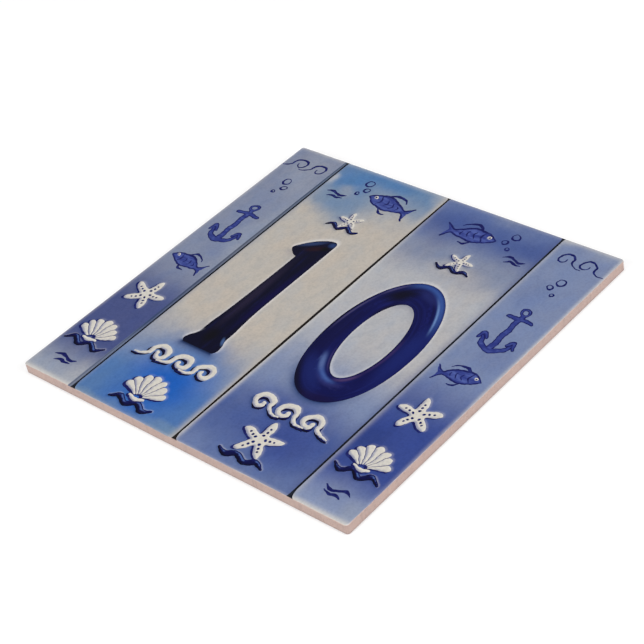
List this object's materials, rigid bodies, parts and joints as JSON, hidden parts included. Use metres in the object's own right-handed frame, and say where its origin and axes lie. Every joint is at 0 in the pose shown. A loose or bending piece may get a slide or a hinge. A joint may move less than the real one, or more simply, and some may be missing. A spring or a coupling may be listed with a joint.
{
  "type": "printed ceramic house number tile",
  "caption": "Square glazed ceramic tile with a rolled rim and pressed keying recesses on its back, its face printed with a house number and blue seaside ornament; it is bonded to a wall.",
  "frame": {"origin": "middle of the back, in the plane of its ribs", "axes": "+Z out of the glazed face, +Y towards the top of the number, +X along the way the number reads"},
  "size_m": [0.1524, 0.1524, 0.0043],
  "materials": {
    "glaze": "gloss",
    "biscuit": "matte"
  },
  "bodies": {
    "root": {"tile": "glaze"}
  },
  "joints": []
}
